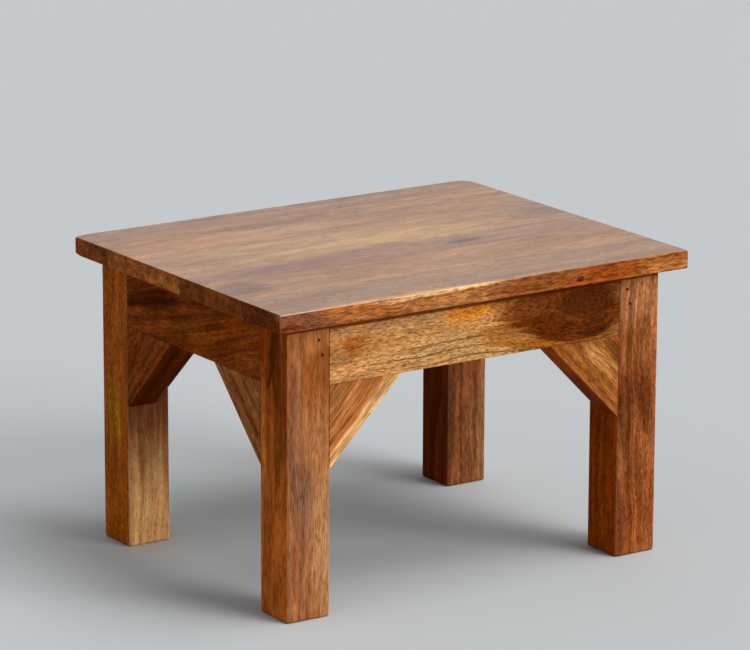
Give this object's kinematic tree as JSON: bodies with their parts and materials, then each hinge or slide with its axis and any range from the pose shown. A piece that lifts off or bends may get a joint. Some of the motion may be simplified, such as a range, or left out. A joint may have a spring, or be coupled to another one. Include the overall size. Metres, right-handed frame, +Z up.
{
  "type": "wooden stool",
  "caption": "Low rectangular wooden stool: a glued-board seat on square legs, tied by aprons and triangular corner braces.",
  "frame": {"origin": "on the floor, under the middle of the seat", "axes": "+Z up; +X along the seat's long side, to the right seen from the front; the front faces -Y"},
  "size_m": [0.385, 0.309, 0.25],
  "materials": {
    "seat_wood": "satin clear polish over brown stain",
    "leg_wood": "satin clear polish over brown stain",
    "apron_wood": "satin clear polish over brown stain",
    "brace_wood": "satin clear polish over brown stain",
    "nail_steel": "dull drawn steel, darkened",
    "screw_steel": "zinc-plated steel"
  },
  "bodies": {
    "root": {"seat_board_1": "seat_wood", "seat_board_2": "seat_wood", "seat_board_3": "seat_wood", "seat_board_4": "seat_wood", "seat_board_5": "seat_wood", "seat_board_6": "seat_wood", "leg_front_left": "leg_wood", "leg_front_right": "leg_wood", "leg_back_left": "leg_wood", "leg_back_right": "leg_wood", "apron_front": "apron_wood", "apron_back": "apron_wood", "apron_left": "apron_wood", "apron_right": "apron_wood", "brace_front_left": "brace_wood", "brace_front_right": "brace_wood", "brace_back_left": "brace_wood", "brace_back_right": "brace_wood", "brace_left_front": "brace_wood", "brace_left_back": "brace_wood", "brace_right_front": "brace_wood", "brace_right_back": "brace_wood", "pin_front_left_upper": "nail_steel", "pin_front_left_lower": "nail_steel", "brad_front_left_leg": "nail_steel", "brad_front_left_apron": "nail_steel", "pin_front_right_upper": "nail_steel", "pin_front_right_lower": "nail_steel", "brad_front_right_leg": "nail_steel", "brad_front_right_apron": "nail_steel", "pin_back_left_upper": "nail_steel", "pin_back_left_lower": "nail_steel", "brad_back_left_leg": "nail_steel", "brad_back_left_apron": "nail_steel", "pin_back_right_upper": "nail_steel", "pin_back_right_lower": "nail_steel", "brad_back_right_leg": "nail_steel", "brad_back_right_apron": "nail_steel", "pin_left_front_upper": "nail_steel", "pin_left_front_lower": "nail_steel", "brad_left_front_leg": "nail_steel", "brad_left_front_apron": "nail_steel", "pin_left_back_upper": "nail_steel", "pin_left_back_lower": "nail_steel", "brad_left_back_leg": "nail_steel", "brad_left_back_apron": "nail_steel", "pin_right_front_upper": "nail_steel", "pin_right_front_lower": "nail_steel", "brad_right_front_leg": "nail_steel", "brad_right_front_apron": "nail_steel", "pin_right_back_upper": "nail_steel", "pin_right_back_lower": "nail_steel", "brad_right_back_leg": "nail_steel", "brad_right_back_apron": "nail_steel", "screw_front_left": "screw_steel", "screw_front_right": "screw_steel", "screw_back_left": "screw_steel", "screw_back_right": "screw_steel", "screw_left": "screw_steel", "screw_right": "screw_steel"}
  },
  "joints": []
}
